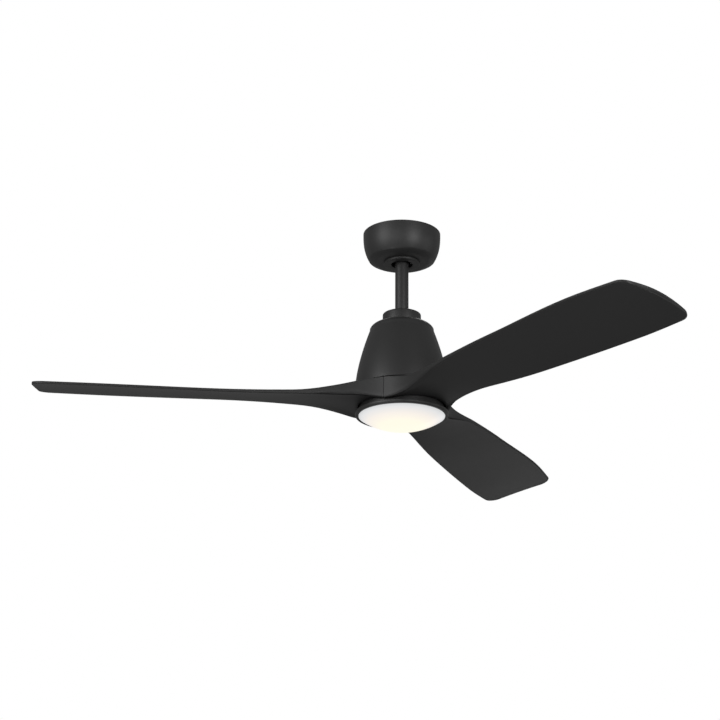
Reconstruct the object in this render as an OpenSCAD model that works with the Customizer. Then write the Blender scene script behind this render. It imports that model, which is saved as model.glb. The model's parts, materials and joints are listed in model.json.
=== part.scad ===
// Ceiling fan with a light: three moulded propeller blades, a downrod on a hanger ball and an LED light kit.
// Millimetres, +Z up. The origin is the centre of the hanger bracket's top face, which lies on the ceiling.

/* [Blades] */
// Diameter swept by the blade tips
sweep_d = 1422; // [1200:1:1720]
// Offset of the leading edge from the blade's axis at its narrowest, near the root
lead_root = 69.5; // [60:0.5:76]
// Offset of the leading edge at its widest
lead_wide = 84.5; // [70:0.5:104]
// Offset of the leading edge at the tip
lead_tip = 74.5; // [60:0.5:92]
// Offset of the trailing edge from the blade's axis at its narrowest, near the root
trail_root = 52.5; // [46:0.5:64]
// Offset of the trailing edge at its widest
trail_wide = 80; // [64:0.5:94]
// Offset of the trailing edge at the tip
trail_tip = 77; // [60:0.5:92]
// Pitch of the blade, leading edge up
blade_pitch = 12; // [6:0.5:15]
// Thickness of the blade along its edges
edge_t = 5; // [3.5:0.1:7]
// Thickness of the blade along its middle, on the outer half
middle_t = 9; // [7:0.1:12]
// Height by which the middle of the blade stands above a straight line between its edges
camber = 4; // [0:0.5:6]
// Radius of the two rounded corners at the tip
tip_corner_r = 24; // [10:1:32]
// Outer diameter of the collar that the three blade roots form
collar_d = 183; // [181:0.5:196]
// Height of the collar
collar_h = 42; // [40:0.5:50]
// Thickness of the collar's wall
collar_wall = 4.5; // [4:0.1:6]
// Thickness of the web that is screwed to the hub
web_t = 6; // [4:0.1:7]
// Gap at each seam between two blade roots
seam_gap = 0.8; // [0.4:0.1:1.5]

/* [Canopy] */
// Diameter of the canopy at the ceiling
canopy_d = 155; // [150:1:190]
// Depth of the canopy
canopy_h = 60.5; // [60:0.5:76]
// Thickness of the canopy's sheet metal
canopy_wall = 1.2; // [0.8:0.1:2]
// Outer diameter of the twist-on ring under the canopy
ring_d = 72; // [71:0.5:84]
// Height of the twist-on ring
ring_h = 4.2; // [4:0.1:6]
// Diameter of the hole in the twist-on ring, around the downrod
ring_hole_d = 43; // [42:0.5:48]

/* [Hanger] */
// Diameter of the hanger ball
ball_d = 54; // [50:0.5:56]
// Outer diameter of the downrod
rod_od = 26.7; // [24:0.1:28]
// Wall of the downrod
rod_wall = 2.3; // [1.5:0.1:3.2]
// Length of downrod that shows between the canopy and the coupling cover
rod_drop = 111; // [95:1:900]
// Hole spacing of the ceiling outlet box that the bracket's slots fit
box_spacing = 88.9; // [84:0.1:96]
// Width of the outlet box slots
slot_w = 5.4; // [4.5:0.1:6]
// End-to-end length of the outlet box slots
slot_l = 16; // [10:0.5:18]
// Thickness of the bracket's steel
bracket_t = 2.5; // [2:0.1:3]

/* [Motor housing] */
// Diameter of the coupling cover on top of the housing
cover_d = 76; // [74:0.5:84]
// Height of the coupling cover
cover_h = 22.3; // [21:0.1:30]
// Diameter of the housing at its lower rim
housing_d = 183; // [178:0.5:196]
// Height of the housing
housing_h = 135; // [134:0.5:160]
// Wall of the housing
housing_wall = 1.5; // [1:0.1:2.5]
// Diameter of the motor's rotor
rotor_d = 140; // [134:0.5:146]
// Height of the motor's rotor
rotor_h = 56; // [54:0.5:60]
// Outer diameter of the motor's fixed hollow shaft
shaft_d = 17; // [16:0.1:19]
// Outer diameter of the shaft bearings
bearing_d = 40; // [35:0.5:42]

/* [Light] */
// Outer diameter of the light's trim ring
trim_d = 183; // [178:0.5:200]
// Height of the trim ring
trim_h = 7; // [6.6:0.1:12]
// Diameter of the diffuser at its rim
lens_d = 168.2; // [164:0.1:171]
// Depth of the diffuser's dome
lens_dome = 26; // [15:0.5:40]
// Wall of the diffuser
lens_wall = 2; // [1.2:0.1:3]
// Diameter of the LED board
board_d = 132; // [118:1:134]
// Clear height between the collar and the trim ring
light_gap = 4.5; // [3:0.1:10]

/* [Hidden] */
$fn = 96;

// Colours
BLACK = "#262626";
STEEL = "#a9abad";
ZINC = "#8f9294";
CAST = "#b4b6b8";
IRON = "#55585c";
COPPER = "#b0622c";
OPAL = "#f6f3ea";
WHITE = "#e8e8e4";
GREEN = "#2e7d46";
YELLOW = "#e8c840";

// Clearances
fit = 0.05;      // radial, around a pin, screw or shaft in its hole
slide_gap = 0.35;   // radial, between the coupling cover and the downrod
rest_gap = 0.3;  // between faces of two bodies that rest or slide on each other
spin_gap = 1.5;  // between turning and fixed parts that pass each other
air_gap = 0.8;   // radial, between the stator and the magnets
race_gap = 0.15; // between the bearing balls and the inner ring
eps = 0.01;

// Screws: [shank radius, head radius, head height]
M3 = [1.5, 2.8, 1.6];
M4 = [2, 3.8, 2.2];
M5 = [2.5, 4.6, 2.4];

// Hanger
rod_r = rod_od / 2;
ball_r = ball_d / 2;
ball_z = -36;
ball_top = ball_z + ball_r * 19 / 27;
ball_bottom = ball_z - ball_r * 20 / 27;
pin_r = 3;
ball_pin_z = ball_z + 6;
rod_top_z = ball_z + 22;
seat_top_z = ball_z - ball_r * 16 / 27;
seat_t = 3;
seat_r = 36.5;
leg_x = ball_r + 2;
bracket_l = box_spacing + slot_l + 15;
bracket_w = 44;
canopy_screw_pcr = 30.5;
receiver_size = [70, 24, 28];
receiver_y = ball_r + 7;
receiver_top_z = -bracket_t - 2;
ground_y = 10;
ground_z = -16;
leg_w = 36;
canopy_hole_r = 24;
// The wires pass beside the pins and inside the motor shaft
shaft_wall = 2.2;
wire_r = (shaft_d / 2 - shaft_wall - pin_r - 0.9) / 2;
wire_y = pin_r + wire_r + 0.2;
wire_places = [[0, wire_y], [-1.6, -wire_y], [1.6, -wire_y]];
plug_h = 7;
lead_plug_z = rod_top_z + 2;
tab_w = 5;
tab_y = ball_r - 3.5;
groove_depth = ball_r - 7.5;

// Canopy and its ring
canopy_r = canopy_d / 2;
crease_in = 11.5;
crease_drop = 5.6;
canopy_flat_r = 48;
ring_z = -canopy_h - rest_gap;

// Heights of the main parts, from the canopy down
cover_top_z = -canopy_h - rod_drop;
cover_bottom_z = cover_top_z - cover_h;
housing_top_z = cover_bottom_z - rest_gap;
housing_bottom_z = housing_top_z - housing_h;
collar_top_z = housing_bottom_z - spin_gap;
collar_bottom_z = collar_top_z - collar_h;
trim_top_z = collar_bottom_z - light_gap;
trim_bottom_z = trim_top_z - trim_h;

// Yoke
yoke_r = rod_r + 6.5;
yoke_top_z = cover_top_z - 5.5;
yoke_pin_z = yoke_top_z - 8;
rod_end_z = housing_top_z - 12;
yoke_flange_r = 35;
yoke_flange_t = 4;
flange_top_z = housing_top_z - housing_wall - fit;
yoke_bottom_z = rod_end_z - 20;
housing_screw_pcr = 28.5;

// Motor housing
shoulder_r = 17;
shoulder_in = 28.1;
slope_h = housing_h - 14.6;

// Motor
shaft_r = shaft_d / 2;
shaft_bore_r = shaft_r - shaft_wall;
shaft_top_z = rod_end_z - 2.5;
rotor_r = rotor_d / 2;
rotor_wall = 5.5;
rotor_bottom_z = collar_top_z + 28;
rotor_top_z = rotor_bottom_z + rotor_h;
cover_plate_t = 4;
rotor_split_z = rotor_bottom_z + 12;
bearing_r = bearing_d / 2;
bearing_w = 12;
ball_bearing_r = 3.4;
bearing_pitch_r = (shaft_r + bearing_r) / 2;
upper_bearing_z = rotor_top_z - 6;
lower_bearing_z = rotor_bottom_z - 6;
bearing_lip = 5;
race_t = 2.2;
boss_r = bearing_r + 5;
magnet_t = 4.3;
stator_r = rotor_r - rotor_wall - magnet_t - air_gap;
stator_h = 24;
stator_z = (rotor_split_z + rotor_top_z) / 2 - stator_h / 2 - 3;
pole_count = 12;
tooth_w = 7;
coil_t = 2.8;
rotor_screw_pcr = rotor_r - rotor_wall / 2;

// Blade hub and blade roots
web_top_z = collar_top_z - 2.3;
web_bottom_z = web_top_z - web_t;
hub_flange_t = 6;
hub_r = 80;
hub_neck_r = bearing_r + 14;
hub_top_r = hub_neck_r + 18;
hub_top_t = 4;
hub_screw_pcr = hub_neck_r + 10;
blade_screw_pcr = 60;
blade_screw_angles = [-34, 0, 34];
plate_t = 2;
blade_azimuths = [60, 180, 300];

// Blades
tip_r = sweep_d / 2;
collar_r = collar_d / 2;
blade_axis_z = collar_top_z - 23;
half_seam = asin(seam_gap / 2 / collar_r);
pitch_start = 90;    // the pitch grows between these two distances from the axis
pitch_full = 360;
root_end = 215;      // the root's curves end here
root_t = 4.5;        // extra thickness of the root, on the upper side
root_t_start = 150;
root_t_end = 410;
rim_rise = 7;        // of the collar's lower rim, under the middle of a blade
tip_skew = 3.5;
tip_crown = 3;
tip_in = tip_r - sqrt(tip_r * tip_r - trail_tip * trail_tip);
corner_start = tip_r - tip_in - tip_corner_r;
ring_points = 24;
root_rings = 9;
lead_points = [
    [collar_r, lead_root], [span(0.15), lead_root], [span(0.43), (lead_root + lead_wide) / 2],
    [span(0.75), lead_wide], [tip_r, lead_tip]
];
trail_points = [
    [collar_r, trail_root], [span(0.06), trail_root], [span(0.37), (trail_root + trail_wide) / 2 + 1.5],
    [span(0.8), trail_wide], [tip_r, trail_tip]
];
// Sections beyond the root: [distance from the axis, share of the thickness]
stations = concat(
    [for (s = [240, 272, 310]) [s, 1]],
    [for (k = [1 : 7]) [310 + (corner_start - 318) * k / 7, 1]],
    [for (k = [0.35, 0.6, 0.8, 0.93]) [corner_start + tip_corner_r * k, 1]],
    [[tip_r - tip_in - 0.6, 0.75], [tip_r - tip_in, 0.4]]
);

// Light
bracket_top_z = web_bottom_z - plate_t - M5[2] - spin_gap - 0.5;
light_bracket_t = 2;
pan_top_z = bracket_top_z - light_bracket_t;
pan_wall = 1.5;
pan_r = collar_r - collar_wall - 5;
pan_flange_in = 12;
pan_screw_pcr = 50;
shaft_end_z = pan_top_z - 10;
wire_end_z = shaft_end_z - 2;
nut_h = 6;
driver_size = [68, 28, 13];
driver_y = -30;
driver_z = pan_top_z - pan_wall - driver_size[2];
driver_hole_in = 5;
led_plate_z = trim_top_z + 8;
led_plate_t = 2;
board_t = 1.6;
board_z = led_plate_z - led_plate_t - board_t;
post_pcr = 58;
post_r = 4;
post_angles = [30, 150, 270];
trim_r = trim_d / 2;
trim_screw_pcr = pan_r - 6;
trim_web_t = 2;
trim_lip_t = 2.3;
lens_r = lens_d / 2;
lens_fit = 0.4;
lug_h = (trim_h - trim_web_t - trim_lip_t) / 1.8;
lug_w = 2.4;
lug_angle = 12;
lug_twist = 18;
groove_r = lens_r + lug_w + lens_fit;
dome_r = (lens_r * lens_r + lens_dome * lens_dome) / (2 * lens_dome);

// ---------------------------------------------------------------- helpers
// The smooth curve through a few [place, value] points
function curve(pts, x, i = 0) =
    i < len(pts) - 2 && x > pts[i + 1][0] ? curve(pts, x, i + 1) :
    let(
        a = pts[max(0, i - 1)],
        b = pts[i],
        c = pts[i + 1],
        d = pts[min(len(pts) - 1, i + 2)],
        w = c[0] - b[0],
        k = max(0, min(1, (x - b[0]) / w)),
        slope_b = (c[1] - a[1]) / (c[0] - a[0]) * w,
        slope_c = (d[1] - b[1]) / (d[0] - b[0]) * w
    )
    b[1] * (1 + 2 * k) * pow(1 - k, 2) + slope_b * k * pow(1 - k, 2)
    + c[1] * k * k * (3 - 2 * k) - slope_c * k * k * (1 - k);

function fade(x, power) = pow(max(0, 1 - max(0, x)), power);

module tube(r_out, r_in, h) {
    difference() {
        cylinder(r = r_out, h = h);
        translate([0, 0, -1]) cylinder(r = r_in, h = h + 2);
    }
}

module around(count, radius, start = 0) {
    for (i = [0 : count - 1]) rotate([0, 0, start + i * 360 / count]) translate([radius, 0, 0]) children();
}

module at_angles(angles, radius) {
    for (a = angles) rotate([0, 0, a]) translate([radius, 0, 0]) children();
}

// An arc of a ring with a rectangular section
module ring_arc(r_out, r_in, h, angle) {
    rotate([0, 0, -angle / 2]) rotate_extrude(angle = angle) translate([r_in, 0]) square([r_out - r_in, h]);
}

// A pan-head screw: its head hangs below z = 0 and its shank rises above it
module screw(size, length) {
    difference() {
        union() {
            translate([0, 0, -size[2]]) cylinder(r = size[1], h = size[2]);
            cylinder(r = size[0], h = length);
        }
        for (a = [0, 90]) rotate([0, 0, a])
            translate([-size[1] * 0.6, -size[1] * 0.12, -size[2] - 1])
                cube([size[1] * 1.2, size[1] * 0.24, 1 + size[2] * 0.5]);
    }
}

// A clearance hole that starts just below z = 0
module hole(r, h) {
    translate([0, 0, -1]) cylinder(r = r, h = h + 2);
}

// ---------------------------------------------------------------- ceiling mount
module outlet_slot() {
    for (side = [-1, 1]) translate([side * (slot_l - slot_w) / 2, 0, 0]) cylinder(d = slot_w, h = bracket_t + 2);
    translate([-(slot_l - slot_w) / 2, -slot_w / 2, 0]) cube([slot_l - slot_w, slot_w, bracket_t + 2]);
}

module hanger_bracket() {
    color(ZINC) union() {
        difference() {
            union() {
                translate([-bracket_l / 2, -bracket_w / 2, -bracket_t]) cube([bracket_l, bracket_w, bracket_t]);
                for (side = [-1, 1])
                    translate([side * (leg_x + bracket_t / 2) - bracket_t / 2, -leg_w / 2, seat_top_z - eps])
                        cube([bracket_t, leg_w, -seat_top_z - bracket_t + 2 * eps]);
                translate([0, 0, seat_top_z - seat_t]) cylinder(r = seat_r, h = seat_t);
            }
            translate([0, 0, -bracket_t - 1]) cylinder(r = 15, h = bracket_t + 2);
            for (side = [-1, 1]) translate([side * box_spacing / 2, 0, -bracket_t - 1]) outlet_slot();
            translate([0, 0, ball_z]) sphere(r = ball_r + rest_gap);
            translate([-rod_r - 2, -seat_r - 1, seat_top_z - seat_t - 1])
                cube([rod_od + 4, seat_r + 1, seat_t + 2]);
            translate([0, 0, seat_top_z - seat_t - 1]) around(4, canopy_screw_pcr, 45)
                cylinder(r = M4[0] + fit, h = seat_t + 2);
            translate([leg_x - 1, ground_y, ground_z]) rotate([0, 90, 0])
                cylinder(r = M4[0] + fit, h = bracket_t + 2);
        }
        translate([-tab_w / 2, tab_y, seat_top_z - eps]) cube([tab_w, 5, 12]);
    }
}

module ground_screw() {
    color(GREEN) translate([leg_x + bracket_t, ground_y, ground_z]) rotate([0, -90, 0]) screw(M4, 5);
}

module receiver() {
    color("#3a3c40") difference() {
        translate([-receiver_size[0] / 2, receiver_y, receiver_top_z - receiver_size[2]]) cube(receiver_size);
        for (side = [-1, 1])
            translate([side * receiver_size[0] / 2 - 3, receiver_y + receiver_size[1] / 2, receiver_top_z - 14])
                rotate([0, 90, 0]) cylinder(r = 5, h = 6);
    }
}

// The strap that hangs the receiver from the bracket's top plate
module receiver_clip() {
    color(ZINC) translate([-12, bracket_w / 2 - 8, receiver_top_z]) cube([24, 20, -bracket_t - receiver_top_z]);
}

// The side and the shallow bottom of the canopy, shrunk by an inset for its inner face
function canopy_side(inset) = [
    for (i = [0 : 10]) let(k = i / 10)
        [canopy_r - inset - crease_in * pow(k, 2.75), -k * (canopy_h - crease_drop - inset)]
];
function canopy_base(inset) = [
    for (i = [1 : 6]) let(k = i / 6, r_crease = canopy_r - crease_in - inset)
        [r_crease + (canopy_flat_r - r_crease) * k, -canopy_h + inset + crease_drop * pow(1 - k, 2)]
];
function canopy_outline(inset, floor_r) =
    concat([[floor_r, 0]], canopy_side(inset), canopy_base(inset), [[floor_r, -canopy_h + inset]]);

module canopy() {
    color(BLACK) difference() {
        rotate_extrude() polygon(canopy_outline(0, canopy_hole_r));
        translate([0, 0, eps]) rotate_extrude() polygon(canopy_outline(canopy_wall, 0));
        translate([0, 0, -canopy_h]) around(4, canopy_screw_pcr, 45) hole(M4[0] + fit, canopy_wall);
    }
}

module canopy_screws() {
    color(ZINC) translate([0, 0, -canopy_h]) around(4, canopy_screw_pcr, 45)
        screw(M4, canopy_h + seat_top_z + 2);
}

module canopy_ring() {
    ring_r = ring_d / 2;
    hole_r = ring_hole_d / 2;
    bevel = 1.2;
    head_room = M4[2] + 0.4;
    color(BLACK) translate([0, 0, ring_z - ring_h]) difference() {
        rotate_extrude() polygon([
            [hole_r, 0], [ring_r - bevel, 0], [ring_r, bevel], [ring_r, ring_h], [hole_r, ring_h]
        ]);
        translate([0, 0, ring_h - head_room])
            tube(canopy_screw_pcr + M4[1] + 0.6, canopy_screw_pcr - M4[1] - 0.6, 9);
    }
}

// ---------------------------------------------------------------- hanger, downrod and yoke
module hanger_ball() {
    color("#1b1b1b") difference() {
        intersection() {
            translate([0, 0, ball_z]) sphere(r = ball_r);
            translate([0, 0, ball_bottom]) cylinder(r = ball_r + 1, h = ball_top - ball_bottom);
        }
        translate([0, 0, ball_bottom]) hole(rod_r + fit, ball_top - ball_bottom);
        translate([-ball_r - 1, 0, ball_pin_z]) rotate([0, 90, 0]) cylinder(r = pin_r + fit, h = ball_d + 2);
        translate([0, 0, ball_pin_z]) rotate([90, 0, 0]) cylinder(r = M5[0] + fit, h = ball_r + 1);
        translate([-tab_w / 2 - 0.8, groove_depth, ball_bottom - 1]) cube([tab_w + 1.6, ball_r, 33]);
    }
}

module ball_pin() {
    pin_l = ball_d - 12;
    color(STEEL) translate([-pin_l / 2, 0, ball_pin_z]) rotate([0, 90, 0]) cylinder(r = pin_r, h = pin_l);
}

module ball_set_screw() {
    color(STEEL) difference() {
        translate([0, -rod_r - fit, ball_pin_z]) rotate([90, 0, 0]) cylinder(r = M5[0], h = ball_r - rod_r - 4);
        translate([0, -ball_r + 6, ball_pin_z]) rotate([90, 0, 0]) cylinder(r = 1.4, h = 6, $fn = 6);
    }
}

module downrod() {
    color(BLACK) translate([0, 0, rod_end_z]) difference() {
        tube(rod_r, rod_r - rod_wall, rod_top_z - rod_end_z);
        for (z = [ball_pin_z, yoke_pin_z])
            translate([-rod_r - 1, 0, z - rod_end_z]) rotate([0, 90, 0])
                cylinder(r = pin_r + fit, h = rod_od + 2);
    }
}

module lead_wires() {
    for (i = [0 : 2])
        color([WHITE, "#1d1d1f", "#2b50a8"][i]) translate([wire_places[i][0], wire_places[i][1], wire_end_z])
            cylinder(r = wire_r, h = lead_plug_z - wire_end_z);
}

module lead_plug() {
    color(WHITE) translate([-7, -7, lead_plug_z]) cube([14, 14, plug_h]);
}

module light_plug() {
    color(WHITE) translate([-6, -7, wire_end_z - plug_h]) cube([12, 14, plug_h]);
}

module yoke() {
    color(CAST) difference() {
        union() {
            translate([0, 0, yoke_bottom_z]) cylinder(r = yoke_r, h = yoke_top_z - yoke_bottom_z);
            translate([0, 0, flange_top_z - yoke_flange_t]) cylinder(r = yoke_flange_r, h = yoke_flange_t);
        }
        translate([0, 0, rod_end_z]) cylinder(r = rod_r + fit, h = yoke_top_z - rod_end_z + 1);
        translate([0, 0, yoke_bottom_z]) hole(shaft_r + fit, rod_end_z - yoke_bottom_z);
        translate([-yoke_r - 1, 0, yoke_pin_z]) rotate([0, 90, 0]) cylinder(r = pin_r + fit, h = 2 * yoke_r + 2);
        translate([0, yoke_r + 1, yoke_pin_z]) rotate([90, 0, 0]) cylinder(r = M5[0] + fit, h = 2 * yoke_r + 2);
        translate([0, 0, flange_top_z - yoke_flange_t]) around(4, housing_screw_pcr, 45)
            hole(M4[0] + fit, yoke_flange_t);
    }
}

module yoke_pin() {
    color(STEEL) union() {
        translate([-yoke_r - fit, 0, yoke_pin_z]) rotate([0, 90, 0]) cylinder(r = pin_r, h = 2 * yoke_r + 5);
        translate([-yoke_r - 2 - fit, 0, yoke_pin_z]) rotate([0, 90, 0]) cylinder(r = pin_r + 2, h = 2);
    }
}

// A retaining ring with a gap on the free end of the yoke pin
module yoke_clip() {
    color(STEEL) translate([yoke_r + 1.5, 0, yoke_pin_z]) rotate([0, 90, 0]) difference() {
        tube(pin_r + 2.5, pin_r + fit, 1.2);
        translate([0, -1, -1]) cube([10, 2, 4]);
    }
}

module yoke_bolts() {
    color(STEEL) for (a = [0, 180]) rotate([0, 0, a]) translate([0, rod_r + fit, yoke_pin_z]) rotate([-90, 0, 0])
        union() {
            cylinder(r = M5[0], h = yoke_r - rod_r + 4);
            translate([0, 0, yoke_r - rod_r + 1.5]) cylinder(r = M5[1], h = 4, $fn = 6);
        }
}

module coupling_cover() {
    r = cover_d / 2;
    wall = 2;
    round_r = 3;
    hole_r = rod_r + slide_gap;
    color(BLACK) translate([0, 0, cover_bottom_z]) rotate_extrude() polygon(concat(
        [[hole_r, cover_h], [hole_r, cover_h - wall], [r - wall, cover_h - wall], [r - wall, 0], [r, 0]],
        [for (a = [0 : 15 : 90]) [r - round_r + round_r * cos(a), cover_h - round_r + round_r * sin(a)]]
    ));
}

// ---------------------------------------------------------------- motor
// The housing's slope from its lower rim up to the shoulder, then the shoulder's arc
function housing_slope(inset) = [
    for (i = [0 : 14]) let(k = i / 14)
        [housing_d / 2 - inset - shoulder_in * pow(k, 1.58), k * slope_h]
];
function housing_shoulder(inset) = [
    for (a = [25 : 13 : 90])
        [housing_d / 2 - shoulder_in - 0.91 * shoulder_r + (shoulder_r - inset) * cos(a),
         housing_h - 1 - shoulder_r + (shoulder_r - inset) * sin(a)]
];
function housing_outline(inset, hole_r) = concat(
    [[hole_r, 0]], housing_slope(inset), housing_shoulder(inset),
    [[cover_d / 2 - 1, housing_h - inset], [hole_r, housing_h - inset]]
);

module motor_housing() {
    hole_r = yoke_r + 1;
    color(BLACK) translate([0, 0, housing_bottom_z]) difference() {
        rotate_extrude() polygon(housing_outline(0, hole_r));
        translate([0, 0, -eps]) rotate_extrude() polygon(housing_outline(housing_wall, 0));
        translate([0, 0, housing_h - housing_wall]) around(4, housing_screw_pcr, 45)
            hole(M4[0] + fit, housing_wall);
    }
}

module housing_screws() {
    color(ZINC) translate([0, 0, housing_top_z]) around(4, housing_screw_pcr, 45) rotate([180, 0, 0])
        screw(M4, housing_wall + yoke_flange_t);
}

module motor_shaft() {
    color(STEEL) translate([0, 0, shaft_end_z]) tube(shaft_r, shaft_bore_r, shaft_top_z - shaft_end_z);
}

module stator_core() {
    color(IRON) translate([0, 0, stator_z]) difference() {
        union() {
            cylinder(r = 24, h = stator_h);
            around(pole_count, 20) translate([0, -tooth_w / 2, 0]) cube([stator_r - 22, tooth_w, stator_h]);
            difference() {
                tube(stator_r, stator_r - 3, stator_h);
                around(pole_count, stator_r - 5, 180 / pole_count)
                    translate([0, -1.5, -1]) cube([10, 3, stator_h + 2]);
            }
        }
        hole(shaft_r + fit, stator_h);
    }
}

module stator_windings() {
    coil_in = 27;
    coil_l = stator_r - 4 - coil_in;
    color(COPPER) translate([0, 0, stator_z]) around(pole_count, coil_in) difference() {
        translate([0, -tooth_w / 2 - coil_t, -coil_t - 1])
            cube([coil_l, tooth_w + 2 * coil_t, stator_h + 2 * coil_t + 2]);
        translate([-1, -tooth_w / 2 - fit, -fit]) cube([coil_l + 2, tooth_w + 2 * fit, stator_h + 2 * fit]);
    }
}

module rotor_upper_cover() {
    wall_h = rotor_top_z - rotor_split_z;
    color(CAST) difference() {
        union() {
            translate([0, 0, rotor_split_z]) cylinder(r = rotor_r, h = wall_h);
            translate([0, 0, upper_bearing_z - 2]) cylinder(r = boss_r, h = bearing_w + 2);
        }
        translate([0, 0, rotor_split_z - 1])
            tube(rotor_r - rotor_wall, boss_r, wall_h - cover_plate_t + 1);
        translate([0, 0, rotor_split_z - 1]) cylinder(r = boss_r + eps, h = upper_bearing_z - rotor_split_z - 1);
        translate([0, 0, upper_bearing_z - 2]) hole(bearing_r - bearing_lip, bearing_w);
        translate([0, 0, upper_bearing_z]) cylinder(r = bearing_r + fit, h = bearing_w + 1);
        translate([0, 0, rotor_split_z]) around(6, rotor_screw_pcr) hole(M3[0] + fit, 8);
    }
}

module rotor_lower_cover() {
    color(CAST) difference() {
        union() {
            translate([0, 0, rotor_bottom_z]) cylinder(r = rotor_r, h = rotor_split_z - rotor_bottom_z);
            translate([0, 0, lower_bearing_z]) cylinder(r = boss_r, h = bearing_w + 2);
        }
        translate([0, 0, rotor_bottom_z + cover_plate_t]) difference() {
            cylinder(r = rotor_r - rotor_wall, h = 30);
            cylinder(r = boss_r, h = lower_bearing_z + bearing_w + 2 - rotor_bottom_z - cover_plate_t);
        }
        translate([0, 0, lower_bearing_z]) hole(bearing_r - bearing_lip, bearing_w + 2);
        translate([0, 0, lower_bearing_z - 1]) cylinder(r = bearing_r + fit, h = bearing_w + 1);
        translate([0, 0, rotor_bottom_z]) around(6, rotor_screw_pcr) hole(M3[0] + fit, 12);
        translate([0, 0, rotor_bottom_z]) around(4, hub_screw_pcr, 45) hole(M5[0] + fit, cover_plate_t);
    }
}

module rotor_magnets() {
    count = 14;
    magnet_r = rotor_r - rotor_wall - fit;
    color("#3c3c40") translate([0, 0, stator_z - 1]) around(count, 0)
        ring_arc(magnet_r, magnet_r - magnet_t + fit, stator_h + 2, 360 / count - 2);
}

module rotor_screws() {
    color(ZINC) translate([0, 0, rotor_bottom_z]) around(6, rotor_screw_pcr) screw(M3, 19);
}

module bearing_inner(z) {
    color(STEEL) translate([0, 0, z]) rotate_extrude() difference() {
        translate([shaft_r + fit, 0]) square([bearing_pitch_r - race_t - shaft_r - fit, bearing_w]);
        translate([bearing_pitch_r, bearing_w / 2]) circle(r = ball_bearing_r + race_gap);
    }
}

module bearing_outer(z) {
    color(STEEL) translate([0, 0, z]) rotate_extrude() difference() {
        translate([bearing_pitch_r + race_t, 0]) square([bearing_r - bearing_pitch_r - race_t, bearing_w]);
        translate([bearing_pitch_r, bearing_w / 2]) circle(r = ball_bearing_r + fit);
    }
}

module bearing_balls(z) {
    color(ZINC) translate([0, 0, z + bearing_w / 2]) around(8, bearing_pitch_r) sphere(r = ball_bearing_r);
}

module upper_bearing_inner() { bearing_inner(upper_bearing_z); }
module upper_bearing_outer() { bearing_outer(upper_bearing_z); }
module upper_bearing_balls() { bearing_balls(upper_bearing_z); }
module lower_bearing_inner() { bearing_inner(lower_bearing_z); }
module lower_bearing_outer() { bearing_outer(lower_bearing_z); }
module lower_bearing_balls() { bearing_balls(lower_bearing_z); }

// ---------------------------------------------------------------- blades
module blade_hub() {
    hub_h = rotor_bottom_z - web_top_z;
    color(CAST) translate([0, 0, web_top_z]) difference() {
        union() {
            cylinder(r = hub_r, h = hub_flange_t);
            cylinder(r = hub_neck_r, h = hub_h);
            translate([0, 0, hub_h - hub_top_t]) cylinder(r = hub_top_r, h = hub_top_t);
        }
        hole(boss_r + 1, hub_h);
        at_angles([for (b = blade_azimuths) for (a = blade_screw_angles) a + b], blade_screw_pcr)
            hole(M5[0] + fit, hub_flange_t);
        translate([0, 0, hub_h - hub_top_t]) around(4, hub_screw_pcr, 45) hole(M5[0] + fit, hub_top_t);
    }
}

module hub_screws() {
    color(ZINC) translate([0, 0, rotor_bottom_z - hub_top_t]) around(4, hub_screw_pcr, 45)
        screw(M5, hub_top_t + cover_plate_t - 0.5);
}

// The blade's axis runs along +X at this height, and its leading edge is on the -Y side.
// v runs across the blade, from -1 at the leading edge to 1 at the trailing edge.
// Distance from the axis at share k of the way from the collar to the tip
function span(k) = collar_r + (tip_r - collar_r) * k;

// How far the outline draws in at distance s from the axis, to round the corners of the tip
function corner_in(s) = let(x = max(0, s - corner_start))
    tip_corner_r - sqrt(max(0, tip_corner_r * tip_corner_r - x * x));

// How much the outermost sections lean and bow like the tip
function lean(s) = pow(max(0, (s - tip_r + 130) / 130), 2);

function pitch_at(s) = blade_pitch * (1 - fade((s - pitch_start) / (pitch_full - pitch_start), 2.1));

// Height of the blade's middle surface, half its thickness, and what the root adds on the upper side
function middle_z(s, t, v) =
    blade_axis_z - t * tan(pitch_at(s)) + camber * (1 - v * v) * min(1, max(0, s - collar_r) / 150);
function root_extra(s) = root_t * fade((s - root_t_start) / (root_t_end - root_t_start), 1.5);
function half_thickness(v, a) = (edge_t / 2 + (middle_t - edge_t) / 2 * (1 - v * v)) * pow(abs(sin(a)), 0.3);

function ring_angle(i) = 360 * (i + 0.5) / ring_points;
function ring_v(i) = cos(ring_angle(i)) / cos(180 / ring_points);
function ring_side(i) = sin(ring_angle(i)) > 0 ? 1 : -1;

// One point of the ring round the blade at distance s, with its thickness scaled at the very tip
function section_point(i, s, scale_t = 1) = let(
    v = ring_v(i),
    t = v * ((v < 0 ? curve(lead_points, s) : curve(trail_points, s)) - corner_in(s)),
    z = middle_z(s, t, v) + ring_side(i) * scale_t * half_thickness(v, ring_angle(i)),
    extra = ring_side(i) > 0 ? root_extra(s) : 0
)
[s + lean(s) * (tip_skew * v - tip_crown * v * v), t, z + extra];

function hermite(a, b, slope_a, slope_b, k) =
    a * (1 + 2 * k) * pow(1 - k, 2) + slope_a * k * pow(1 - k, 2)
    + b * k * k * (3 - 2 * k) - slope_b * k * k * (1 - k);

// Height of the collar's lower rim: deepest at the seams, raised under the middle of each blade
function rim_z(v) = collar_bottom_z + rim_rise * (1 - (v < 0 ? pow(-v, 1.5) : pow(v, 6)));

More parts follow.
